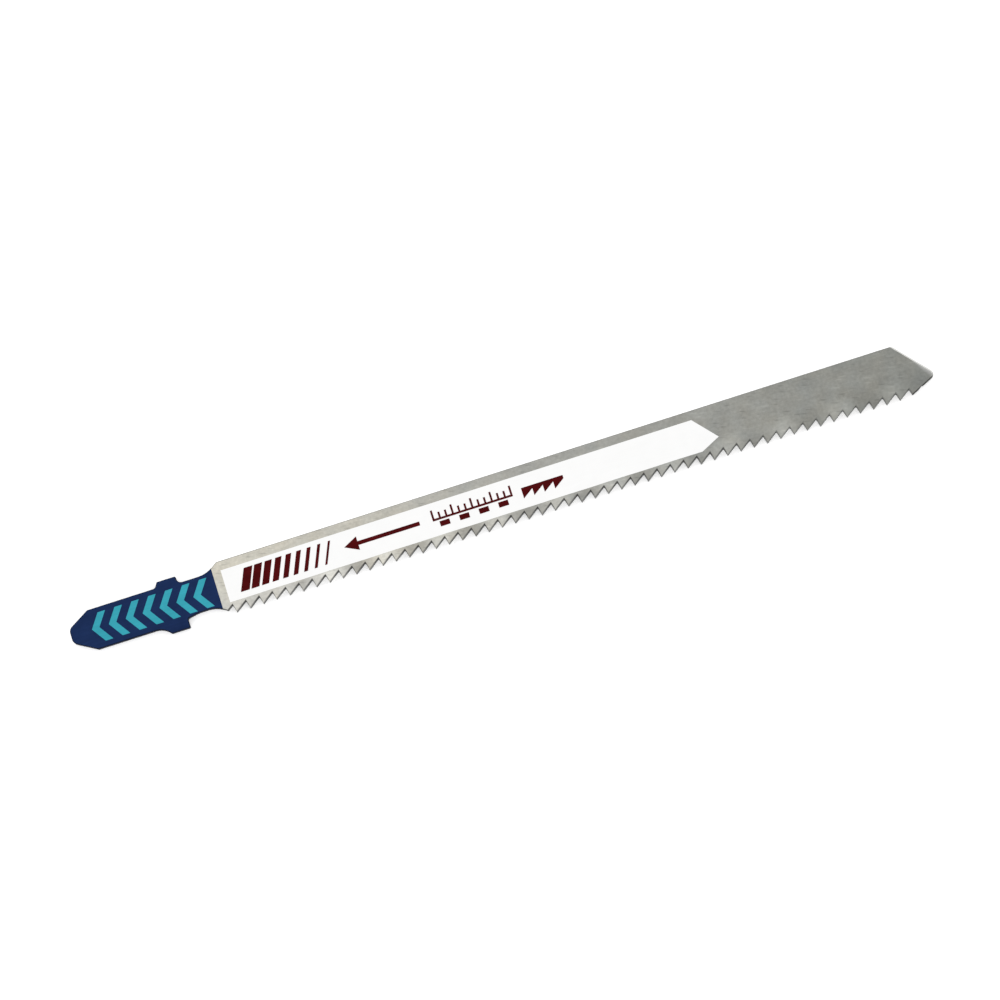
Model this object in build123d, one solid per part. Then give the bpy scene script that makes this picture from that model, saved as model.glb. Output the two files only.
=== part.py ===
"""Long jigsaw blade for metal, punched from one piece of hard steel strip.

The shank is a flat tang with a tapered nose and two lugs, which hook behind the
clamp of the saw. A narrower neck flares out into the long working length, whose
back is straight and smooth and whose end is cut off at a slant. The lower edge
has small milled teeth, and it is pressed into a shallow sideways wave, so that
the teeth cut a slot a little wider than the sheet.

Sizes are in millimetres. X runs along the blade from shank to tip, with zero at
the rear faces of the lugs. Y runs from the teeth up to the back, with zero on
the centre line of the tang. Z runs across the sheet, with zero in its middle.
"""

import os
from math import ceil, cos, pi, radians, sin, tan

from build123d import *

# Sheet
sheet_thickness = 1.0
edge_break = 0.08

# Tang
tang_width = 6.0
tang_length = 17.1
nose_length = 3.3
nose_slope = 30.5
nose_corner_radius = 1.0

# Lugs, with their heights above the edges of the tang
lug_length = 2.83
upper_lug_height = 0.83
lower_lug_height = 1.1
lug_corner_radius = 0.12
upper_lug_slope = 59.0
upper_lug_foot_radius = 0.6
lower_lug_slope = 52.0
lower_lug_sweep_radius = 2.7

# Neck and the heel behind its lower lug, with their insets from the edges of the tang
neck_upper_inset = 0.29
neck_lower_inset = 0.62
neck_upper_corner_radius = 0.8
neck_lower_corner_radius = 0.35
heel_inset = 0.28
heel_length = 1.8
heel_bend_radius = 6.0
flare_start = 3.2
flare_radius = 4.2
flare_slope = 36.0
shoulder_radius = 0.5

# Working length
back_height = 4.0
back_end = 110.5
back_corner_radius = 0.12
tip_slope = 49.5
tip_nose_radius = 0.75
tip_underside_start = 110.75
tip_underside_slope = 24.6
tip_bevel = 0.25

# Teeth
tooth_line = 4.0
tooth_pitch = 2.04
tooth_count = 52
first_tooth_tip = 7.17
tooth_rake = 15.0
tooth_land = 0.04
gullet_depth = 1.18
gullet_radius = 0.12

# Sideways wave of the toothed edge, up to the last tooth, with crests dressed to one width
set_width = 1.36
crest_dressing = 0.03
wave_bend_height = 1.0
wave_bend_share = 0.35
wave_length = 8.72
wave_crest = 22.8
sections_per_wave = 12

tang_side = tang_width / 2
upper_lug_top = tang_side + upper_lug_height
lower_lug_top = tang_side + lower_lug_height
neck_upper_edge = tang_side - neck_upper_inset
neck_lower_edge = tang_side - neck_lower_inset
heel_edge = tang_side - heel_inset
sheet_side = sheet_thickness / 2
wave_reach = (set_width - sheet_thickness) / 2 + crest_dressing
band_width = tooth_line - wave_bend_height
tooth_front = gullet_depth * tan(radians(tooth_rake))
tooth_back = tooth_pitch - tooth_land - tooth_front
first_gullet_root = first_tooth_tip - tooth_front
set_end = first_gullet_root + (tooth_count - 1) * tooth_pitch
tip_fall = tan(radians(tip_slope))
tip_rise = tan(radians(tip_underside_slope))
tip_drop = back_height + tooth_line + tip_rise * tip_underside_start
tip_corner = (tip_drop + tip_fall * back_end) / (tip_fall + tip_rise)
tip_corner_height = back_height - tip_fall * (tip_corner - back_end)


def run_of(rise, slope):
    """How far along X an edge goes while it rises, at a slope in degrees."""
    return rise / tan(radians(slope))


def fitted_radii(points, radii):
    """Corner radii, made smaller where two of them need more than the edge between."""
    corners = [Vector(*point) for point in points]
    needs = []
    for place, corner in enumerate(corners):
        back = corners[place - 1] - corner
        ahead = corners[(place + 1) % len(corners)] - corner
        needs.append(radii[place] / tan(radians(back.get_angle(ahead)) / 2))

    shares = []
    for place, corner in enumerate(corners):
        room = (corners[place - 1] - corner).length
        shares.append(min(1, room / max(needs[place - 1] + needs[place], room)))
    return [
        radius * min(shares[place], shares[(place + 1) % len(shares)])
        for place, radius in enumerate(radii)
    ]


def outline():
    """Closed outline of the punched blank, before teeth, with its corner radii."""
    nose_end = tang_side - nose_length * tan(radians(nose_slope))
    nose_start = nose_length - tang_length
    upper_lug_foot = -lug_length - run_of(upper_lug_height, upper_lug_slope)
    lower_lug_foot = -lug_length - run_of(lower_lug_height, lower_lug_slope)

    flare_corner = flare_start + flare_radius * tan(radians(flare_slope) / 2)
    shoulder = flare_corner + run_of(back_height - neck_upper_edge, flare_slope)
    first_corner = flare_corner + run_of(tooth_line - neck_lower_edge, flare_slope)

    corners = [
        (-tang_length, nose_end, nose_corner_radius),
        (nose_start, tang_side, 0),
        (upper_lug_foot, tang_side, upper_lug_foot_radius),
        (-lug_length, upper_lug_top, lug_corner_radius),
        (0, upper_lug_top, lug_corner_radius),
        (0, neck_upper_edge, neck_upper_corner_radius),
        (flare_corner, neck_upper_edge, flare_radius),
        (shoulder, back_height, shoulder_radius),
        (back_end, back_height, back_corner_radius),
        (tip_corner, tip_corner_height, tip_nose_radius),
        (tip_underside_start, -tooth_line, 0),
        (first_corner, -tooth_line, 0),
        (flare_corner, -neck_lower_edge, flare_radius),
        (heel_length, -neck_lower_edge, heel_bend_radius),
        (0, -heel_edge, neck_lower_corner_radius),
        (0, -lower_lug_top, lug_corner_radius),
        (-lug_length, -lower_lug_top, lug_corner_radius),
        (lower_lug_foot, -tang_side, lower_lug_sweep_radius),
        (nose_start, -tang_side, 0),
        (-tang_length, -nose_end, nose_corner_radius),
    ]
    points = [(x, y) for x, y, radius in corners]
    radii = fitted_radii(points, [radius for x, y, radius in corners])
    return make_face(FilletPolyline(*points, radius=radii, close=True))


def tip_wedge():
    """Wedge of sheet, wider than the blade, whose point is the bevelled tip."""
    base = -2 * tang_length
    top = (base, back_height + tip_fall * (back_end - base))
    point = (tip_corner, tip_corner_height)
    bottom = (base, -tooth_line - tip_rise * (tip_underside_start - base))
    profile = FilletPolyline(top, point, bottom, radius=[0, tip_nose_radius, 0], close=True)
    wedge = extrude(make_face(profile), sheet_side, both=True)
    rims = wedge.faces().filter_by(Axis.Z).edges().filter_by(Axis.Y, reverse=True)
    return chamfer(rims, tip_bevel)


def sway(x):
    """Sideways shift of the tooth tips at x, eased in and out over a quarter wave."""
    ease = wave_length / 4
    inside = min(x - first_gullet_root, set_end - x)
    fade = sin(pi / 2 * min(max(inside / ease, 0), 1)) ** 2
    return wave_reach * fade * cos(2 * pi * (x - wave_crest) / wave_length)


def band_section(x):
    """Cross-section of the waved band at x: flat at its root, swung at its edge."""
    root_y = -wave_bend_height
    bend_y = -wave_bend_height - wave_bend_share * band_width
    swing = sway(x)

    def face_of_sheet(side):
        return Bezier((x, root_y, side), (x, bend_y, side), (x, -tooth_line, side + swing))

    front = face_of_sheet(sheet_side)
    rear = face_of_sheet(-sheet_side)
    root = Line(rear @ 0, front @ 0)
    edge = Line(front @ 1, rear @ 1)
    return Wire([root, front, edge, rear])


def waved_band():
    """The strip of sheet that carries the teeth, pressed into its wave."""
    length = set_end - first_gullet_root
    steps = ceil(length * sections_per_wave / wave_length)
    places = [first_gullet_root + length * step / steps for step in range(steps + 1)]
    return Solid.make_loft([band_section(x) for x in places], ruled=True)


def gullet(tip_x):
    """The gullet ahead of one tooth, straight through the waved sheet.

    It is a V with a round root, and runs on past the tips to twice its depth.
    """
    mouth_rear = (-2 * tooth_back, -2 * gullet_depth)
    mouth_front = (2 * tooth_front, -2 * gullet_depth)
    profile = FilletPolyline(mouth_rear, (0, 0), mouth_front, radius=[0, gullet_radius, 0], close=True)
    root = Pos(tip_x - tooth_front, gullet_depth - tooth_line, 0)
    return root * extrude(make_face(profile), set_width, both=True)


def meets_teeth(edge):
    """Whether an edge of the blank runs along or into the line of the tooth tips."""
    return any(corner.X > 0 and abs(corner.Y + tooth_line) < edge_break for corner in edge.vertices())


def blade():
    """The whole blade: flat sheet, waved band and milled gullets, as one solid."""
    blank = outline()
    sheet = extrude(blank, sheet_side, both=True)
    rims = sheet.faces().filter_by(Axis.Z).edges().filter_by(meets_teeth, reverse=True)
    sheet = chamfer(rims, edge_break) & tip_wedge()

    length = set_end - first_gullet_root
    middle = Pos(first_gullet_root + length / 2, -wave_bend_height - band_width, 0)
    band_room = middle * Box(length, 2 * band_width, 2 * sheet_thickness)
    dressed_room = extrude(blank, set_width / 2, both=True)
    body = (sheet - band_room) + (waved_band() & dressed_room)
    gullets = [gullet(first_tooth_tip + tooth * tooth_pitch) for tooth in range(tooth_count + 1)]
    return body - gullets


os.makedirs("parts", exist_ok=True)
export_step(blade(), "parts/blade.step")
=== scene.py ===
# %% [markdown]
# # Dressing a long jigsaw blade
#
# The blade comes in as one piece of punched and milled steel sheet, already at its real size. This lesson
# adds what a saw shop adds to the bare steel: the grinding marks, the dark blue lacquer on the shank, the
# white printed field and the small printed marks. It ends with a camera above a pale table and soft
# daylight.

# %% Load the steel blade
import math

import bpy
from mathutils import Matrix, Vector


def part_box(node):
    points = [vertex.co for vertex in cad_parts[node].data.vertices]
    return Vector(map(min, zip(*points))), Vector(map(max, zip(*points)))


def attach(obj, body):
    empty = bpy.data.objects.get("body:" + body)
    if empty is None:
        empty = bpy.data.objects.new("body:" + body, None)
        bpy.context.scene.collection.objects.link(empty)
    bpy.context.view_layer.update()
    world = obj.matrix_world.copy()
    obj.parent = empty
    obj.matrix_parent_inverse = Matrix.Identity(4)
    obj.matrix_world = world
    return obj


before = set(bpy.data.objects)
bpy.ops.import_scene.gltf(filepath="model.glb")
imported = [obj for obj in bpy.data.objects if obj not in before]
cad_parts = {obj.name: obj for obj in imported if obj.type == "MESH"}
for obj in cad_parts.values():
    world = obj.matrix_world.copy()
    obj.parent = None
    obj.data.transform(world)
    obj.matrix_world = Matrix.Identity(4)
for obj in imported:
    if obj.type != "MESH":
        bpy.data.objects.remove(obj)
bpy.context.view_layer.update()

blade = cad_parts["blade"]
lowest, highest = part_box("blade")
print("blade, mm:", [round(1000 * side, 2) for side in highest - lowest])

# %% [markdown]
# ## Millimetres
#
# Blender works in metres here, but a blade is thought of in millimetres, so places are written in
# millimetres and turned into metres by one factor. X runs from the shank to the tip, Y from the teeth to
# the smooth back, and Z out of the printed face.

# %% One factor, and where the flat face lies
MM = 0.001

shank_points = [vertex.co for vertex in blade.data.vertices if vertex.co.x < 0]
face_z = max(point.z for point in shank_points) / MM
print("the flat face lies at z =", round(face_z, 3), "mm")

# %% [markdown]
# ## Camera
#
# The picture is taken from nearly straight above, with a long lens, so the blade shows hardly any
# perspective. The camera leans a little towards the teeth, which shows their lower walls as thin dark
# lines, and it is turned so that the blade rises to the right. The lens follows from the distance and the
# width of the view.

# %% Camera above the blade
view_centre = Vector((48.86, 0.02, 0)) * MM
view_width = 146.72 * MM
view_turn = math.radians(18.02)
lean_to_teeth = math.radians(11)
camera_distance = 0.6
nearest_seen = 0.01
sensor_width = 36

toward_camera = Vector((0, -math.tan(lean_to_teeth), 1)).normalized()
picture_right = Vector((math.cos(view_turn), -math.sin(view_turn), 0))
picture_up = toward_camera.cross(picture_right).normalized()
picture_right = picture_up.cross(toward_camera)
turn = Matrix((picture_right, picture_up, toward_camera)).transposed()

bpy.ops.object.camera_add(location=view_centre + camera_distance * toward_camera)
camera = bpy.context.object
camera.rotation_euler = turn.to_euler()
camera.data.sensor_width = sensor_width
camera.data.lens = sensor_width * camera_distance / view_width
camera.data.clip_start = nearest_seen
bpy.context.scene.camera = camera
print("lens, mm:", round(camera.data.lens, 1))

# %% [markdown]
# ## Building materials node by node
#
# A material is a graph of nodes. By hand they are added and joined with the mouse, one by one. In a script,
# a few small helpers keep the graphs readable: each adds one kind of node, and takes either a plain number
# or the output of another node for every socket. All patterns are placed by Object coordinates, which are
# metres on the blade itself, so they stay where they are when the blade is turned.

# %% Helpers: nodes and their sockets
def feed(tree, socket, given):
    """Links another node's output into a socket, or sets a plain value on it."""
    if isinstance(given, bpy.types.NodeSocket):
        tree.links.new(given, socket)
    else:
        socket.default_value = given


def add(tree, kind, inputs=None, **settings):
    """Adds a node to a graph, with its settings, and feeds the named or numbered sockets."""
    node = tree.nodes.new(kind)
    for name, value in settings.items():
        setattr(node, name, value)
    for socket, given in (inputs or {}).items():
        feed(tree, node.inputs[socket], given)
    return node


def math_node(tree, operation, first, second=0.0):
    """Output of one sum, difference, cosine or the like."""
    return add(tree, "ShaderNodeMath", {0: first, 1: second}, operation=operation).outputs[0]


def product(tree, first, *others):
    """Output of several numbers or sockets multiplied together."""
    for other in others:
        first = math_node(tree, "MULTIPLY", first, other)
    return first


def ramp_between(tree, value, low, high, to_low=0.0, to_high=1.0, interpolation="SMOOTHSTEP"):
    """Maps a value smoothly from the range low to high onto the range to_low to to_high."""
    inputs = {0: value, 1: low, 2: high, 3: to_low, 4: to_high}
    return add(tree, "ShaderNodeMapRange", inputs, interpolation_type=interpolation).outputs[0]


def mixed(tree, factor, first, second, blend="MIX"):
    """Colour output of a mix of two colours."""
    inputs = {0: factor, 6: first, 7: second}
    return add(tree, "ShaderNodeMix", inputs, data_type="RGBA", blend_type=blend).outputs[2]


def toned(tree, colour, tone):
    """A colour multiplied by a tone near 1, which darkens or lightens it."""
    return add(tree, "ShaderNodeVectorMath", {0: colour, "Scale": tone}, operation="SCALE").outputs[0]


# %% Helpers: materials and node groups
def new_material(name):
    """Empty material with a Principled shader; returns material, graph and shader."""
    material = bpy.data.materials.new(name)
    material.use_nodes = True
    tree = material.node_tree
    tree.nodes.clear()
    shader = tree.nodes.new("ShaderNodeBsdfPrincipled")
    output = tree.nodes.new("ShaderNodeOutputMaterial")
    tree.links.new(shader.outputs[0], output.inputs["Surface"])
    return material, tree, shader


def new_group(name, inputs, outputs):
    """Empty node group with named sockets; returns the group, its inputs and its output node."""
    group = bpy.data.node_groups.new(name, "ShaderNodeTree")
    for socket, (kind, value) in inputs.items():
        made = group.interface.new_socket(socket, in_out="INPUT", socket_type=kind)
        if value is not None:
            made.default_value = value
    for socket in outputs:
        group.interface.new_socket(socket, in_out="OUTPUT", socket_type="NodeSocketFloat")
    entry = group.nodes.new("NodeGroupInput")
    leave = group.nodes.new("NodeGroupOutput")
    return group, entry.outputs, leave.inputs


def effect(tree, group, place, values):
    """Output of a node group, placed in a material with its own values."""
    return add(tree, "ShaderNodeGroup", {"Place": place, **values}, node_tree=group).outputs[0]


def divided(tree, place, x, y, z):
    """A place divided by one length on each axis, so that a pattern takes on those lengths."""
    lengths = add(tree, "ShaderNodeCombineXYZ", {0: x, 1: y, 2: z})
    return add(tree, "ShaderNodeVectorMath", {0: place, 1: lengths.outputs[0]}, operation="DIVIDE").outputs[0]


# %% [markdown]
# ## Grinding marks
#
# Saw steel is ground along its length before it is hardened, which leaves fine streaks many times longer
# than they are wide. The lacquer is thin enough to follow them. A photograph of ground steel could be laid
# on, but it would repeat and blur. Here both finishes share one node group: noise that is stretched by
# dividing the coordinates by the length and the width of a streak.

# %% Group: lengthwise grinding marks
FLOAT = "NodeSocketFloat"
VECTOR = "NodeSocketVector"

grind_inputs = {"Place": (VECTOR, None), "Length": (FLOAT, 0.012), "Width": (FLOAT, 0.0003)}
grind_marks, given, result = new_group("grind_marks", grind_inputs, ["Streaks"])
stretched = divided(grind_marks, given["Place"], given["Length"], given["Width"], given["Width"])
streaks = add(grind_marks, "ShaderNodeTexNoise", {"Vector": stretched, "Scale": 1.0, "Detail": 3.0})
feed(grind_marks, result["Streaks"], streaks.outputs[0])
print("grinding marks, nodes:", len(grind_marks.nodes))

# %% [markdown]
# ## Blotches
#
# Oil, fingers and the hardening bath leave faint cloudy patches, and printing ink never lies perfectly
# even. One group of soft noise serves the steel, the lacquer and the inks, each with its own patch size and
# strength. Noise keeps mostly between 0.3 and 0.7, so that is the range which is spread from darkest to
# lightest.

# %% Group: cloudy patches
noise_low = 0.3
noise_high = 0.7

blotch_inputs = {
    "Place": (VECTOR, None),
    "Size": (FLOAT, 0.003),
    "Darkest": (FLOAT, 0.95),
    "Lightest": (FLOAT, 1.05),
}
blotches, given, result = new_group("blotches", blotch_inputs, ["Tone"])
scaled = divided(blotches, given["Place"], given["Size"], given["Size"], given["Size"])
clouds = add(blotches, "ShaderNodeTexNoise", {"Vector": scaled, "Scale": 1.0, "Detail": 4.0})
tone_range = (given["Darkest"], given["Lightest"])
tone = ramp_between(blotches, clouds.outputs[0], noise_low, noise_high, *tone_range, "LINEAR")
feed(blotches, result["Tone"], tone)
print("blotches, nodes:", len(blotches.nodes))

# %% [markdown]
# ## Short scratches
#
# A blade that was ground, packed and handled has short scratches, mostly along its length. A flat Voronoi
# pattern with long, thin cells has one point at a random place in every cell. Close to that point the mask
# is white, which gives one dash for each cell. A flat pattern is used because a slice through a solid one
# would miss most of the points.

# %% Group: short scratches
dash_core = 0.02

scratch_inputs = {
    "Place": (VECTOR, None),
    "Spacing Along": (FLOAT, 0.02),
    "Spacing Across": (FLOAT, 0.0012),
    "Turn": (FLOAT, 0.1),
    "Reach": (FLOAT, 0.05),
}
scratches, given, result = new_group("scratches", scratch_inputs, ["Mask"])
turn_inputs = {"Vector": given["Place"], "Angle": given["Turn"]}
turned = add(scratches, "ShaderNodeVectorRotate", turn_inputs, rotation_type="Z_AXIS")
spacing = (given["Spacing Along"], given["Spacing Across"], given["Spacing Along"])
cells = divided(scratches, turned.outputs[0], *spacing)
dashes = add(scratches, "ShaderNodeTexVoronoi", {"Vector": cells, "Scale": 1.0}, voronoi_dimensions="2D")
mask = ramp_between(scratches, dashes.outputs["Distance"], given["Reach"], dash_core)
feed(scratches, result["Mask"], mask)
print("scratches, nodes:", len(scratches.nodes))

# %% [markdown]
# ## Steel
#
# The bare steel is a metal, so its colour is the colour of what it mirrors. A colour ramp along X with three
# stops paints that reflection into the colour: warm and light near the shank, turning to a cooler grey
# towards the tip. The steps after this one multiply that colour by tones near 1, and then lay darker and
# lighter marks over it, both real marks and painted shade and highlights.

# %% Steel: tone along the blade
# Painted reflection: these stops are the steel's grey, made lighter and warmer near the shank and greyer at
# the tip.
shank_end_colour = (0.61, 0.585, 0.51, 1)
middle_colour = (0.375, 0.372, 0.345, 1)
tip_colour = (0.248, 0.252, 0.232, 1)
shank_end_share = 0.08
middle_share = 0.45

steel, tree, steel_shader = new_material("ground_saw_steel")
coordinates = add(tree, "ShaderNodeTexCoord")
place = coordinates.outputs["Object"]
axes = add(tree, "ShaderNodeSeparateXYZ", {0: place})
along, across = axes.outputs[0], axes.outputs[1]

share = ramp_between(tree, along, 0.0, highest.x, interpolation="LINEAR")
painted_reflection_ramp = add(tree, "ShaderNodeValToRGB", {0: share})
stops = painted_reflection_ramp.color_ramp.elements
stops[0].position = shank_end_share
stops[0].color = shank_end_colour
stops[1].position = 1.0
stops[1].color = tip_colour
middle_stop = stops.new(middle_share)
middle_stop.color = middle_colour
steel_colour = painted_reflection_ramp.outputs["Color"]
print("stops of the steel's colour:", len(stops))

# %% [markdown]
# ## Steel: painted light and shade on the set
#
# Light and shade on the wave of the set are painted into the colour: the slopes that face the light are made
# lighter, the others darker. That is a cosine along X with the length of the wave. It fades out above the
# wave, is faint near the shank, and gets weaker past the middle of the blade. The whole toothed band is also
# made a little lighter from near the shank to near the tip.

# %% Steel: painted light and shade on the wave of the set
wave_length = 8.72 * MM
light_place = 21.6 * MM
wave_root_y = 0.0 * MM
wave_edge_y = -3.0 * MM
first_crest_x = 13.0 * MM
full_wave_x = 19.0 * MM
fading_x = 30.0 * MM
field_end_x = 78.0 * MM
band_lift_end_x = 98.0 * MM
first_contrast = -0.03
wave_contrast = 0.26
bare_contrast = 0.17
band_lift = 0.09
cool_tint = (0.98, 1.0, 1.06, 1)

# Painted light and shade: the cosine lightens the slopes of the wave that face the light and darkens the
# others.
phase = product(tree, math_node(tree, "SUBTRACT", along, light_place), 2 * math.pi / wave_length)
swing = math_node(tree, "COSINE", phase)
rising = ramp_between(tree, along, first_crest_x, full_wave_x, first_contrast, wave_contrast)
strength = ramp_between(tree, along, fading_x, field_end_x, rising, bare_contrast)
lightening = ramp_between(tree, along, first_crest_x, full_wave_x, 0.0, band_lift)
lightening = ramp_between(tree, along, band_lift_end_x, band_lift_end_x + wave_length, lightening, 0.0)
depth = ramp_between(tree, across, wave_root_y, wave_edge_y)
swing_tone = math_node(tree, "ADD", product(tree, swing, strength), lightening)
wave_shading = math_node(tree, "ADD", 1.0, product(tree, swing_tone, depth))

cool_share = product(tree, depth, ramp_between(tree, along, full_wave_x, fading_x, 1.0, 0.0))
steel_colour = mixed(tree, cool_share, steel_colour, cool_tint, "MULTIPLY")
print("waves along the blade:", round(highest.x / wave_length, 1))

# %% [markdown]
# ## Steel: streaks, patches and scratches
#
# The three groups now go onto the steel, each with its own sizes in metres. Light and dark scratches are
# two sets of dashes with different turns. They are stronger in some patches than in others, because a real
# surface is never scratched evenly. A last soft noise tints the grey a little warmer here and a little
# cooler there.

# %% Steel: streaks, patches and scratches
steel_streaks = {"Length": 0.010, "Width": 0.00022}
streak_tones = (0.975, 1.025)
steel_patches = {"Size": 0.0028, "Darkest": 0.92, "Lightest": 1.07}
steel_speckle = {"Size": 0.0005, "Darkest": 0.91, "Lightest": 1.09}

light_dashes = {"Spacing Along": 0.0046, "Spacing Across": 0.0010, "Turn": 0.20, "Reach": 0.20}
light_patches = (0.97, 1.03)
light_strengths = (0.03, 0.15)
dark_dashes = {"Spacing Along": 0.0040, "Spacing Across": 0.0008, "Turn": 0.27, "Reach": 0.20}
dark_patches = (0.96, 1.03)
dark_strengths = (-0.22, -0.04)

stain_patches = {"Size": 0.0036, "Darkest": 0.0, "Lightest": 1.0}
warm_stain = (1.015, 1.0, 0.975, 1)
cool_stain = (0.98, 1.0, 1.02, 1)

streak = effect(tree, grind_marks, place, steel_streaks)
streak_tone = ramp_between(tree, streak, noise_low, noise_high, *streak_tones)
patch = effect(tree, blotches, place, steel_patches)
speckle = effect(tree, blotches, place, steel_speckle)
scratch = effect(tree, scratches, place, light_dashes)
rub = effect(tree, scratches, place, dark_dashes)
light_lines = product(tree, scratch, ramp_between(tree, patch, *light_patches, *light_strengths))
dark_lines = product(tree, rub, ramp_between(tree, patch, *dark_patches, *dark_strengths))
line_tone = math_node(tree, "ADD", 1.0, math_node(tree, "ADD", light_lines, dark_lines))
tone = product(tree, streak_tone, patch, speckle, line_tone, wave_shading)

stain = effect(tree, blotches, place, stain_patches)
stain_tint = mixed(tree, stain, warm_stain, cool_stain)
stained = mixed(tree, 1.0, steel_colour, stain_tint, "MULTIPLY")
tinted = toned(tree, stained, tone)
print("a streak is", round(steel_streaks["Length"] / steel_streaks["Width"]), "times as long as wide")

# %% [markdown]
# ## Steel: painted shade along the rims of the gullets
#
# A thin dark line of painted shade runs where a gullet meets the face, in place of the shade on its rounded
# rim. A gullet is a V, so how far a place lies outside it is the greater of its distances from the two
# straight walls. X is wrapped around by one tooth pitch, and so one V serves all the teeth. The painted shade
# is strongest at the roots, and it fades towards the tip.

# %% Steel: painted shade along the rims of the gullets
tooth_pitch = 2.04 * MM
tooth_back = 1.70 * MM
first_root_x = 6.854 * MM
last_tooth_x = 111.2 * MM
root_y = -2.82 * MM
tooth_tip_y = -4.1 * MM
tooth_rake = math.radians(15)
back_slope = math.radians(35)
rim_shade_width = 0.17 * MM
rim_shade_core = 0.03 * MM
full_rim_shade_x = 78.0 * MM
rim_shade_fade_x = 94.0 * MM
rim_shade_at_tips = 0.4
rim_shade_near_tip = 0.4
rim_shade_colour = (0.04, 0.04, 0.038, 1)

start_x = first_root_x - tooth_back
wrapped = math_node(tree, "MODULO", math_node(tree, "SUBTRACT", along, start_x), tooth_pitch)
from_root = math_node(tree, "SUBTRACT", wrapped, tooth_back)
over_root = math_node(tree, "SUBTRACT", across, root_y)

back_over = product(tree, over_root, math.cos(back_slope))
back_along = product(tree, from_root, math.sin(back_slope))
off_back = math_node(tree, "SUBTRACT", back_over, back_along)
front_over = product(tree, over_root, math.sin(tooth_rake))
front_along = product(tree, from_root, math.cos(tooth_rake))
off_front = math_node(tree, "ADD", front_over, front_along)

# Painted shade: a thin dark line along the rims of the gullets, fading towards the tip.
rim_shade = ramp_between(tree, math_node(tree, "MAXIMUM", off_back, off_front), rim_shade_width, rim_shade_core)
near_root = ramp_between(tree, across, tooth_tip_y, root_y, rim_shade_at_tips, 1.0)
toward_shank = ramp_between(tree, along, rim_shade_fade_x, full_rim_shade_x, rim_shade_near_tip, 1.0)
in_row = math_node(tree, "LESS_THAN", along, last_tooth_x)
rim_shade = product(tree, rim_shade, near_root, toward_shank, in_row)
rim_shaded = mixed(tree, rim_shade, tinted, rim_shade_colour)
print("gullets with a burr:", 1 + int((last_tooth_x - first_root_x) / tooth_pitch))

# %% [markdown]
# ## Steel: painted shade on the walls of the gullets
#
# The walls that the cutter left are given painted shade, which is darkest at the roots. No painting by hand
# is
# needed to find them: they stand upright, so their normal has almost no part along Z, and they reach no
# higher than the roots of the gullets. The steep front of a tooth and its sloping back point different ways
# along X, and so each has its own painted shade; the fronts get lighter towards the tip.

# %% Steel: painted shade on the walls of the gullets
upright_range = (0.6, 0.3)
front_range = (-0.3, -0.7)
gullet_top_y = -2.6 * MM
wall_blend = 0.1 * MM
root_wall_shade_colour = (0.006, 0.006, 0.006, 1)
tip_wall_shade_colour = (0.08, 0.08, 0.075, 1)
front_wall_shade_colour = (0.030, 0.030, 0.028, 1)
tip_front_shade_colour = (0.18, 0.18, 0.17, 1)

facing = add(tree, "ShaderNodeSeparateXYZ", {0: coordinates.outputs["Normal"]})
to_tip, to_back, upward = facing.outputs
flatness = math_node(tree, "ABSOLUTE", upward)
upright = ramp_between(tree, flatness, *upright_range)
in_teeth = ramp_between(tree, across, gullet_top_y, gullet_top_y - wall_blend)
# Painted shade: upright walls below the gullet tops are darkened, darkest at the roots.
wall_shade_mask = product(tree, upright, in_teeth)

toward_root = ramp_between(tree, across, tooth_tip_y, gullet_top_y)
back_wall_shade = mixed(tree, toward_root, tip_wall_shade_colour, root_wall_shade_colour)
front_wall_shade = mixed(tree, toward_shank, tip_front_shade_colour, front_wall_shade_colour)
wall_shade = mixed(tree, ramp_between(tree, to_tip, *front_range), back_wall_shade, front_wall_shade)
walls = mixed(tree, wall_shade_mask, rim_shaded, wall_shade)
print("the walls start at y =", round(gullet_top_y / MM, 2), "mm")

# %% [markdown]
# ## Steel: broken edges and the bevel at the tip
#
# All rims are broken by a small bevel, which is given painted shade, while the larger bevel at the tip is
# given a painted highlight where it faces the back. Both are slanted faces, so they are told apart by their
# place. The painted highlight runs a little way onto the face, further near the nose, and the underside of
# the tip is given painted shade. Two slanted lines, each given by a point and a slope, measure how far a
# place lies inside the edges of the tip.

# %% Helper: distance inside a slanted edge
def inside_line(tree, along, across, point, slope):
    """How far a place lies below a line through a point (mm), whose slope is in degrees."""
    tilt = math.radians(slope)
    start = (point[0] * math.sin(tilt) - point[1] * math.cos(tilt)) * MM
    rise = math_node(tree, "MULTIPLY", across, math.cos(tilt))
    run = math_node(tree, "MULTIPLY", along, math.sin(tilt))
    return math_node(tree, "SUBTRACT", math_node(tree, "SUBTRACT", run, rise), start)


# %% Steel: broken edges and the bevel at the tip
slanted_range = (0.90, 0.75)
lit_bevel_range = (-0.15, 0.15)
shaded_range = (-0.2, -0.4)
bevel_start_x = 110.2 * MM
edge_shade_colour = (0.14, 0.14, 0.13, 1)
bevel_highlight_colour = (0.62, 0.62, 0.60, 1)
under_bevel_shade_colour = (0.06, 0.06, 0.055, 1)

at_tip = math_node(tree, "GREATER_THAN", along, bevel_start_x)
slanted = ramp_between(tree, flatness, *slanted_range)
bevelled = product(tree, slanted, at_tip)
broken = math_node(tree, "SUBTRACT", slanted, math_node(tree, "MAXIMUM", bevelled, upright))
# Painted shade on the small bevels of the rims; painted highlight on the tip bevel where it faces the back.
rims = mixed(tree, broken, walls, edge_shade_colour)
lit_bevel = product(tree, bevelled, ramp_between(tree, to_back, *lit_bevel_range))
shaded = product(tree, bevelled, ramp_between(tree, to_back, *shaded_range))
print("the bevel starts at x =", round(bevel_start_x / MM, 1), "mm")

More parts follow.
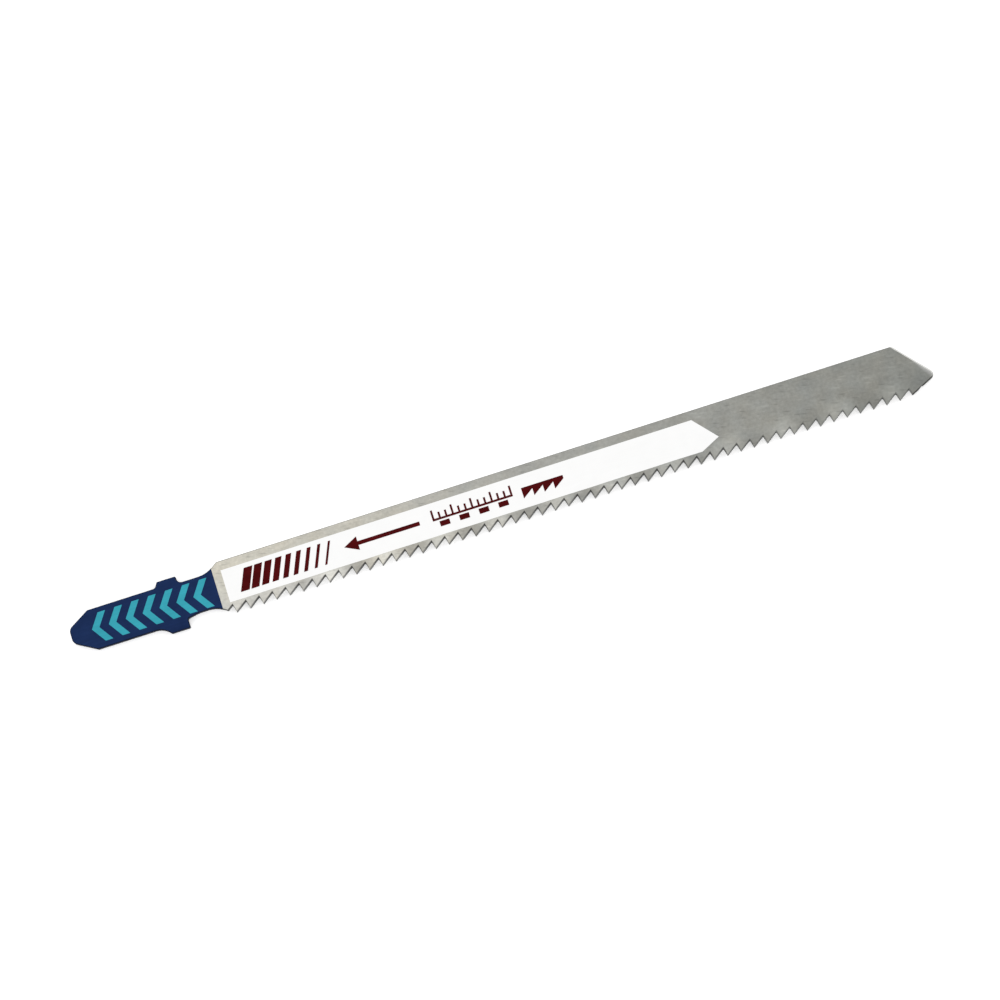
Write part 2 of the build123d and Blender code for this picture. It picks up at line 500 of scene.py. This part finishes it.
# %% Steel: the painted highlight fades onto the face of the tip
slant_point = (110.5, 4.0)
slant_slope = -49.5
underside_point = (110.75, -4.0)
underside_slope = 24.6
underside_band = (-0.20 * MM, -0.10 * MM)
fade_start_x = 111.0 * MM
fade_end_x = 115.0 * MM
narrow_fade = 0.05 * MM
wide_fade = 1.2 * MM
fade_strength = 0.9
face_highlight_colour = (0.50, 0.50, 0.49, 1)

below_slant = inside_line(tree, along, across, slant_point, slant_slope)
fade_depth = ramp_between(tree, along, fade_start_x, fade_end_x, narrow_fade, wide_fade)
face_highlight = product(tree, at_tip, ramp_between(tree, below_slant, fade_depth, 0.0, 0.0, fade_strength))
face_highlighted = mixed(tree, face_highlight, rims, face_highlight_colour)
bevel_highlighted = mixed(tree, lit_bevel, face_highlighted, bevel_highlight_colour)

# Painted shade on the underside of the tip bevel.
over_underside = inside_line(tree, along, across, underside_point, underside_slope)
at_underside = ramp_between(tree, over_underside, *underside_band)
finished = mixed(tree, product(tree, shaded, at_underside), bevel_highlighted, under_bevel_shade_colour)
feed(tree, steel_shader.inputs["Base Color"], finished)
print("slopes at the tip, degrees:", slant_slope, underside_slope)

# %% [markdown]
# ## Steel: shine and relief
#
# The walls with painted shade are not metallic, so they keep their dark colour. Light patches are a little
# shinier than dark ones. The streaks also go into a bump of a hundredth of a millimetre, with the light
# scratches cut into it, so that highlights break up along the grinding. So fine a relief is not worth any
# geometry.

# %% Steel: shine and relief
dull_roughness = 0.42
shiny_roughness = 0.36
scratch_depth = 0.6
relief_height = 0.01 * MM

feed(tree, steel_shader.inputs["Metallic"], math_node(tree, "SUBTRACT", 1.0, wall_shade_mask))
patch_range = (steel_patches["Darkest"], steel_patches["Lightest"])
shine = ramp_between(tree, patch, *patch_range, dull_roughness, shiny_roughness)
feed(tree, steel_shader.inputs["Roughness"], shine)
steel_shader.inputs["Specular IOR Level"].default_value = 0.1

relief = math_node(tree, "SUBTRACT", streak, product(tree, scratch, scratch_depth))
bump = add(tree, "ShaderNodeBump", {"Strength": 0.25, "Distance": relief_height, "Height": relief})
feed(tree, steel_shader.inputs["Normal"], bump.outputs[0])

blade.data.materials.clear()
blade.data.materials.append(steel)
print("steel nodes:", len(tree.nodes))

# %% [markdown]
# ## Selecting and finishing pieces
#
# Operators act on whatever is selected, so every step starts by selecting exactly what it needs. One helper
# makes a single object active, and one picks vertices, edges or faces by a test on their place. The others
# cut, clean, thicken and smooth a piece, and give it its material, its slot and the body that it rides on.

# %% Helpers: select
def activate(piece):
    """Leaves the piece as the only selected object, and makes it active."""
    if bpy.context.object and bpy.context.object.mode != "OBJECT":
        bpy.ops.object.mode_set(mode="OBJECT")
    bpy.ops.object.select_all(action="DESELECT")
    piece.select_set(True)
    bpy.context.view_layer.objects.active = piece


def pick(piece, kind, test):
    """Selects, in edit mode, only the vertices, edges or faces whose middle passes the test."""
    bpy.ops.object.mode_set(mode="EDIT")
    bpy.ops.mesh.select_mode(type=kind)
    bpy.ops.mesh.select_all(action="DESELECT")
    bpy.ops.object.mode_set(mode="OBJECT")
    mesh = piece.data
    parts = {"VERT": mesh.vertices, "EDGE": mesh.edges, "FACE": mesh.polygons}[kind]
    for part in parts:
        corners = [mesh.vertices[i].co for i in part.vertices] if kind != "VERT" else [part.co]
        part.select = test(sum(corners, Vector()) / len(corners) / MM)
    bpy.ops.object.mode_set(mode="EDIT")


# %% Helpers: cut and merge, in edit mode
cut_accuracy = 0.001


def cut_beyond(point, outward):
    """Cuts off all that lies beyond a plane, given by a point (mm) and its outward direction."""
    bpy.ops.mesh.select_all(action="SELECT")
    bpy.ops.mesh.bisect(
        plane_co=Vector(point) * MM,
        plane_no=Vector(outward).normalized(),
        threshold=cut_accuracy * MM,
        clear_outer=True,
    )


def merge_closer_than(distance):
    """Merges vertices that lie closer together than a distance in millimetres."""
    bpy.ops.mesh.select_all(action="SELECT")
    bpy.ops.mesh.remove_doubles(threshold=distance * MM)


# %% Helpers: thicken, smooth and finish
smooth_angle = math.radians(30)


def thicken(piece, thickness, offset):
    """Gives a thin piece its thickness (mm), all of it outwards at offset 1 and half each way at 0."""
    activate(piece)
    bpy.ops.object.modifier_add(type="SOLIDIFY")
    solidify = piece.modifiers[-1]
    solidify.thickness = thickness * MM
    solidify.offset = offset
    solidify.use_even_offset = True
    bpy.ops.object.modifier_apply(modifier=solidify.name)
    if offset == 0:
        bpy.ops.object.mode_set(mode="EDIT")
        bpy.ops.mesh.select_all(action="SELECT")
        bpy.ops.mesh.normals_make_consistent(inside=False)
        bpy.ops.object.mode_set(mode="OBJECT")


def smooth(piece):
    """Shades shallow edges smooth and leaves steep ones sharp."""
    activate(piece)
    bpy.ops.object.shade_smooth_by_angle(angle=smooth_angle)


def settle(piece, name, material):
    """Bakes the piece's place into its mesh, names it and lets it ride on the blade."""
    activate(piece)
    bpy.ops.object.transform_apply(location=True, rotation=True, scale=True)
    piece.name = name
    piece.data.name = name
    piece.data.materials.clear()
    piece.data.materials.append(material)
    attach(piece, "root")
    print(name, "faces:", len(piece.data.polygons))


# %% [markdown]
# ## A coat that fits like a skin
#
# Lacquer is far thinner than a hair, but it still covers the steel exactly, over its broken edges and round
# its lugs. The surest way to such a skin is to copy the steel's own surface, cut the copy with a plane at
# each limit of the coat, and give what is left a little thickness outwards.

# %% Helper: cut a skin from the steel
coat_thickness = 0.02
copy_accuracy = 0.0005


def skin_of_steel(cuts):
    """Copy of the blade's surface, kept on the inner side of each cut (a point and an outward direction)."""
    skin = bpy.data.objects.new("skin", blade.data.copy())
    bpy.context.collection.objects.link(skin)
    activate(skin)
    bpy.ops.mesh.customdata_custom_splitnormals_clear()
    bpy.ops.object.mode_set(mode="EDIT")
    merge_closer_than(copy_accuracy)
    for point, outward in cuts:
        cut_beyond(point, outward)
    bpy.ops.object.mode_set(mode="OBJECT")
    return skin


# %% [markdown]
# ## Lacquer and inks
#
# Lacquer and printing ink are both smooth coats of one colour, so one function makes them all, each with its
# own colour, strength of patches and roughness. The grinding marks of the steel show through faintly. Lacquer
# also covers the edges of the steel, which are given painted shade, and one number sets how dark.
# Ink lies flat and has no edges, so it keeps the full tone.

# %% Material: a coat of one colour
coat_patch_size = 0.0016
coat_streaks = {"Length": 0.008, "Width": 0.00025}
coat_scratches = {"Spacing Along": 0.026, "Spacing Across": 0.0029, "Turn": -0.2}
coat_edge_shade_range = (0.80, 0.96)
scratch_gain = 1.5
roughness_spread = 0.05


def ink(name, colour, darkest, lightest, roughness, coat_edge_shade=1.0):
    """Satin coat of one colour with faint patches and painted shade on its edges, over the grinding marks."""
    material, tree, shader = new_material(name)
    coordinates = add(tree, "ShaderNodeTexCoord")
    place = coordinates.outputs["Object"]
    facing = add(tree, "ShaderNodeSeparateXYZ", {0: coordinates.outputs["Normal"]})
    flatness = math_node(tree, "ABSOLUTE", facing.outputs[2])
    # Painted shade: steep edges of the coat are darkened.
    edges = ramp_between(tree, flatness, *coat_edge_shade_range, coat_edge_shade, 1.0)
    coat_patches = {"Size": coat_patch_size, "Darkest": darkest, "Lightest": lightest}
    patch = effect(tree, blotches, place, coat_patches)
    streak = effect(tree, grind_marks, place, coat_streaks)
    scratch = effect(tree, scratches, place, coat_scratches)

    lines = ramp_between(tree, streak, noise_low, noise_high, (1 + darkest) / 2, (1 + lightest) / 2)
    lightening = math_node(tree, "ADD", 1.0, product(tree, scratch, scratch_gain * (lightest - 1)))
    tone = product(tree, patch, lines, lightening, edges)
    feed(tree, shader.inputs["Base Color"], toned(tree, colour, tone))

    dull, shiny = roughness + roughness_spread, roughness - roughness_spread
    feed(tree, shader.inputs["Roughness"], ramp_between(tree, patch, darkest, lightest, dull, shiny))
    shader.inputs["Specular IOR Level"].default_value = 0.03
    bump = add(tree, "ShaderNodeBump", {"Strength": 0.15, "Distance": relief_height, "Height": streak})
    feed(tree, shader.inputs["Normal"], bump.outputs[0])
    print(name, "nodes:", len(tree.nodes))
    return material


# %% [markdown]
# ## Shank lacquer
#
# The shank is dipped in dark blue lacquer up to a straight line just past the neck. The lacquer has a satin
# shine, and its edges are given painted shade, much darker than the face. The skin of steel is cut once, at
# that line.

# %% The lacquered skin of the shank
lacquer_end_x = 5.38

lacquer = ink("blue_lacquer", (0.0106, 0.0260, 0.0890), 0.90, 1.10, 0.45, coat_edge_shade=0.25)
shank_lacquer = skin_of_steel([((lacquer_end_x, 0, 0), (1, 0, 0))])
thicken(shank_lacquer, coat_thickness, 1)
smooth(shank_lacquer)
settle(shank_lacquer, "shank_lacquer", lacquer)

# %% [markdown]
# ## White field
#
# The long white field is screen-printed on the front face, with a blunt arrow at its far end. Its lower
# part already lies on the wave of the set. An even grid is laid above the blade, and its far end is cut to
# the arrow with two planes. A shrinkwrap then presses it straight down onto the steel, so it follows the
# wave as ink does.

# %% A grid above the blade, as big as the field
field_left_x = 6.65
field_top_y = 2.60
field_bottom_y = -2.38
arrow_point_x = 82.22
field_cell = 0.25

field_length = arrow_point_x - field_left_x
field_height = field_top_y - field_bottom_y
field_middle = Vector((field_left_x + field_length / 2, field_bottom_y + field_height / 2, 2 * face_z))
bpy.ops.object.select_all(action="DESELECT")
bpy.ops.mesh.primitive_grid_add(
    x_subdivisions=round(field_length / field_cell / 2),
    y_subdivisions=round(field_height / field_cell),
    size=1,
    location=field_middle * MM,
)
white_field = bpy.context.object
white_field.scale = (field_length * MM, field_height * MM, 1)
bpy.ops.object.transform_apply(location=True, rotation=True, scale=True)
print("field, mm:", round(field_length, 2), "by", round(field_height, 2))

# %% Cut the far end to an arrow
arrow_top_x = 79.15
arrow_bottom_x = 79.3
arrow_point_y = -0.98
grid_accuracy = 0.01

upper_side = (field_top_y - arrow_point_y, arrow_point_x - arrow_top_x, 0)
lower_side = (arrow_point_y - field_bottom_y, arrow_bottom_x - arrow_point_x, 0)
bpy.ops.object.mode_set(mode="EDIT")
for outward in (upper_side, lower_side):
    cut_beyond((arrow_point_x, arrow_point_y, 2 * face_z), outward)
merge_closer_than(grid_accuracy)
bpy.ops.object.mode_set(mode="OBJECT")
print("field after the cuts, faces:", len(white_field.data.polygons))

# %% Press the field onto the steel and finish it
bpy.ops.object.modifier_add(type="SHRINKWRAP")
press = white_field.modifiers[-1]
press.target = blade
press.wrap_method = "PROJECT"
press.use_project_z = True
press.use_negative_direction = True
press.use_positive_direction = False
bpy.ops.object.modifier_apply(modifier=press.name)

white_ink = ink("white_ink", (0.985, 0.985, 0.98), 0.992, 1.008, 0.5)
thicken(white_field, coat_thickness, 1)
smooth(white_field)
settle(white_field, "white_field", white_ink)

# %% [markdown]
# ## Printed marks
#
# The marks on the field are plain signs: a block of slanted hatching, as drawings show cut metal, an arrow
# for the direction of the cut, a short millimetre scale and the shape of the teeth. Each one starts as a
# flat rectangle at its place, is shaped by moving and extruding its edges, and is then given the ink's
# thickness.

# %% Helpers: flat marks
mark_z = face_z + coat_thickness
ink_thickness = 0.03
near = 0.01


def plate(x, y, width, height):
    """Flat rectangle of ink with its middle at x, y, in millimetres."""
    bpy.ops.object.select_all(action="DESELECT")
    bpy.ops.mesh.primitive_plane_add(size=1, location=(x * MM, y * MM, mark_z * MM))
    piece = bpy.context.object
    piece.scale = (width * MM, height * MM, 1)
    bpy.ops.object.transform_apply(location=True, rotation=True, scale=True)
    return piece


def grow(piece, test, step):
    """Extrudes the edges that pass the test by a step in millimetres, as when drawing a strip further."""
    pick(piece, "EDGE", test)
    bpy.ops.mesh.extrude_region_move(TRANSFORM_OT_translate={"value": Vector(step) * MM})
    bpy.ops.object.mode_set(mode="OBJECT")


def shift(piece, test, step):
    """Moves the edges that pass the test by a step in millimetres."""
    pick(piece, "EDGE", test)
    bpy.ops.transform.translate(value=Vector(step) * MM)
    bpy.ops.object.mode_set(mode="OBJECT")


# %% Helpers: copies, rows and joined marks
def copied(piece, step):
    """Copy of a mark with its own mesh, moved by a step in millimetres."""
    twin = piece.copy()
    twin.data = piece.data.copy()
    bpy.context.collection.objects.link(twin)
    activate(twin)
    bpy.ops.transform.translate(value=Vector(step) * MM)
    bpy.ops.object.transform_apply(location=True, rotation=True, scale=True)
    return twin


def row_of(piece, count, pitch):
    """The piece and its copies side by side, at a pitch in millimetres."""
    return [piece, *(copied(piece, (number * pitch, 0, 0)) for number in range(1, count))]


def joined(pieces):
    """Joins several flat marks into the first of them."""
    activate(pieces[0])
    for piece in pieces:
        piece.select_set(True)
    bpy.ops.object.join()
    return pieces[0]


def print_in_red(mark, name):
    """Gives a finished flat mark its thickness and the dark red ink."""
    thicken(mark, ink_thickness, 0)
    settle(mark, name, red_ink)


# %% Ink of the marks on the field
red_ink = ink("dark_red_ink", (0.073, 0.0028, 0.0036), 0.82, 1.18, 0.5)

# %% [markdown]
# ## Hatching
#
# Slanted bars stand for cut metal on a drawing. Here they thin out from the first to the last, so each bar
# is a rectangle of its own width. Its upper edge alone is moved to the right, which leans the bar and keeps
# its foot where it is.

# %% Hatching, with bars that thin out to the right
hatch_left_x = 8.6
hatch_y = 0.24
hatch_height = 3.3
hatch_lean = 1.4
hatch_count = 9
hatch_pitch = 1.62
widest_bar = 1.35
thinnest_bar = 0.35

for number in range(hatch_count):
    width = widest_bar + (thinnest_bar - widest_bar) * number / (hatch_count - 1)
    bar_x = hatch_left_x + number * hatch_pitch + width / 2
    bar = plate(bar_x, hatch_y, width, hatch_height)
    shift(bar, lambda m: m.y > hatch_y + hatch_height / 2 - near, (hatch_lean, 0, 0))
    print_in_red(bar, f"hatch_bar_{number + 1}")

# %% [markdown]
# ## Arrow for the direction of the cut
#
# A jigsaw cuts as it pulls the blade back into the saw, so the arrow points to the shank. The shaft is a
# rectangle. Its end edge is extruded in place and stretched to the width of the head, and then extruded
# once more and squeezed to a point, whose two corners are merged.

# %% Arrow for the direction of the cut
arrow_y = 0.24
arrow_stroke = 0.6
arrow_back_x = 36.6
arrow_neck_x = 27.1
arrow_head_length = 2.1
arrow_head_width = 2.1
point_accuracy = 0.001

shaft_length = arrow_back_x - arrow_neck_x
cut_arrow = plate(arrow_neck_x + shaft_length / 2, arrow_y, shaft_length, arrow_stroke)
pick(cut_arrow, "EDGE", lambda m: m.x < arrow_neck_x + near)
bpy.ops.mesh.extrude_region_move()
bpy.ops.transform.resize(value=(1, arrow_head_width / arrow_stroke, 1))
bpy.ops.mesh.extrude_region_move(TRANSFORM_OT_translate={"value": (-arrow_head_length * MM, 0, 0)})
bpy.ops.transform.resize(value=(1, 0, 1))
merge_closer_than(point_accuracy)
bpy.ops.object.mode_set(mode="OBJECT")
print_in_red(cut_arrow, "cut_arrow")

# %% [markdown]
# ## Millimetre scale
#
# The scale is as long as it says, which a user can check with a ruler: twelve millimetres, with a long tick
# at every third one and a coarse row of blocks below the line. One long tick, one short tick and one block
# are made, and rows of copies do the rest before all of them are joined.

# %% Millimetre scale, with a coarse row below the line
scale_left_x = 38.7
scale_y = 0.04
line_stroke = 0.32
tick_stroke = 0.30
long_tick = 1.35
short_tick = 0.85
coarse_step = 3
coarse_count = 4
coarse_gap = 0.25
coarse_size = 0.8

scale_length = coarse_count * coarse_step
line_top_y = scale_y + line_stroke / 2
block_y = scale_y - line_stroke / 2 - coarse_gap - coarse_size / 2
line = plate(scale_left_x + scale_length / 2, scale_y, scale_length + tick_stroke, line_stroke)
tall = plate(scale_left_x, line_top_y + long_tick / 2, tick_stroke, long_tick)
low = plate(scale_left_x + 1, line_top_y + short_tick / 2, tick_stroke, short_tick)
block = plate(scale_left_x + coarse_step / 2, block_y, coarse_step / 2, coarse_size)

ticks = [line, *row_of(tall, coarse_count + 1, coarse_step), *row_of(block, coarse_count, coarse_step)]
for tick in row_of(low, coarse_step - 1, 1):
    ticks.extend(row_of(tick, coarse_count, coarse_step))
millimetre_scale = joined(ticks)
print_in_red(millimetre_scale, "millimetre_scale")

# %% [markdown]
# ## Sign of the teeth
#
# A strip with a few pointed teeth shows what the blade's edge looks like. One tooth is a rectangle whose
# lower right corner is moved onto its lower left one, and the two are merged, which leaves a triangle. Its
# copies stand side by side below the strip.

# %% Sign of the teeth: a strip with a row of pointed teeth
teeth_left_x = 52.3
teeth_count = 4
teeth_pitch = 1.6
strip_y = 0.4
strip_height = 0.5
tooth_height = 1.1

strip_length = teeth_count * teeth_pitch
tooth_y = strip_y - strip_height / 2 - tooth_height / 2
strip = plate(teeth_left_x + strip_length / 2, strip_y, strip_length, strip_height)
first_tooth = plate(teeth_left_x + teeth_pitch / 2, tooth_y, teeth_pitch, tooth_height)
pick(first_tooth, "VERT", lambda m: m.y < tooth_y and m.x > teeth_left_x + near)
bpy.ops.transform.translate(value=(-teeth_pitch * MM, 0, 0))
merge_closer_than(point_accuracy)
bpy.ops.object.mode_set(mode="OBJECT")
teeth_sign = joined([strip, *row_of(first_tooth, teeth_count, teeth_pitch)])
print_in_red(teeth_sign, "teeth_sign")

# %% [markdown]
# ## Chevrons on the shank
#
# A row of chevrons on the lacquer points the way the shank goes into the saw. One chevron is drawn as a
# slanted bar whose lower edge is extruded down and back, and the others are copies of it, each with its own
# mesh.

# %% Shank chevrons
chevron_tip_x = -13.9
chevron_y = 0.02
chevron_height = 4.4
chevron_run = 1.5
chevron_stroke = 1.15
chevron_pitch = 2.6
chevron_count = 7

teal_ink = ink("blue_green_ink", (0.042, 0.366, 0.458), 0.93, 1.07, 0.5)
arm_x = chevron_tip_x + chevron_stroke / 2
chevron = plate(arm_x, chevron_y + chevron_height / 4, chevron_stroke, chevron_height / 2)
shift(chevron, lambda m: m.y > chevron_y + chevron_height / 2 - near, (chevron_run, 0, 0))
grow(chevron, lambda m: m.y < chevron_y + near, (chevron_run, -chevron_height / 2, 0))
thicken(chevron, ink_thickness, 0)
for number, piece in enumerate(row_of(chevron, chevron_count, chevron_pitch), 1):
    settle(piece, f"shank_chevron_{number}", teal_ink)

# %% [markdown]
# ## Table and daylight
#
# The blade lies on a pale table under an even white sky, with one large soft lamp from the side of its
# back. The levels are plain: a white surface comes out just under white. What the camera sees behind the
# blade is lifted to full white by the table's own colour and a little glow. Only the camera and what
# mirrors the table see that glow, so no more light falls on the blade, and its soft shadow stays.

# %% Helper: rays that look at the background
def in_sight(tree):
    """One for rays that come from the camera, off a shiny surface or through glass, and zero for others."""
    path = add(tree, "ShaderNodeLightPath")
    seen = math_node(tree, "MAXIMUM", path.outputs["Is Camera Ray"], path.outputs["Is Glossy Ray"])
    return math_node(tree, "MAXIMUM", seen, path.outputs["Is Transmission Ray"])


# %% The table
table_size = 6
table_colour = (0.93, 0.93, 0.93, 1)
table_glow = 0.44

bpy.ops.object.select_all(action="DESELECT")
bpy.ops.mesh.primitive_plane_add(size=table_size, location=(view_centre.x, 0, lowest.z))
table = bpy.context.object
table.name = "table"
table_top, tree, shader = new_material("pale_table")
shader.inputs["Base Color"].default_value = table_colour
shader.inputs["Roughness"].default_value = 0.9
shader.inputs["Specular IOR Level"].default_value = 0.0
shader.inputs["Emission Color"].default_value = (1, 1, 1, 1)
feed(tree, shader.inputs["Emission Strength"], product(tree, in_sight(tree), table_glow))
table.data.materials.append(table_top)
print("the table lies at z =", round(lowest.z / MM, 3), "mm")

# %% The sky
sky_level = 0.90

world = bpy.data.worlds.new("white_sky")
bpy.context.scene.world = world
world.use_nodes = True
tree = world.node_tree
tree.nodes.clear()
level = math_node(tree, "ADD", sky_level, product(tree, in_sight(tree), 1 - sky_level))
sky = add(tree, "ShaderNodeBackground", {"Color": (1, 1, 1, 1), "Strength": level})
add(tree, "ShaderNodeOutputWorld", {"Surface": sky.outputs[0]})
print("sky level on the blade:", sky_level)

# %% The lamp
lamp_place = Vector((-0.10, 0.75, 0.60))
lamp_size = 0.60
lamp_power = 1.5

bpy.ops.object.light_add(type="AREA", location=lamp_place)
lamp = bpy.context.object
lamp.data.size = lamp_size
lamp.data.energy = lamp_power
lamp.rotation_euler = (lamp_place - view_centre).to_track_quat("Z", "Y").to_euler()
print("lamp distance, m:", round((lamp_place - view_centre).length, 2))

bpy.context.scene.view_settings.view_transform = "Standard"
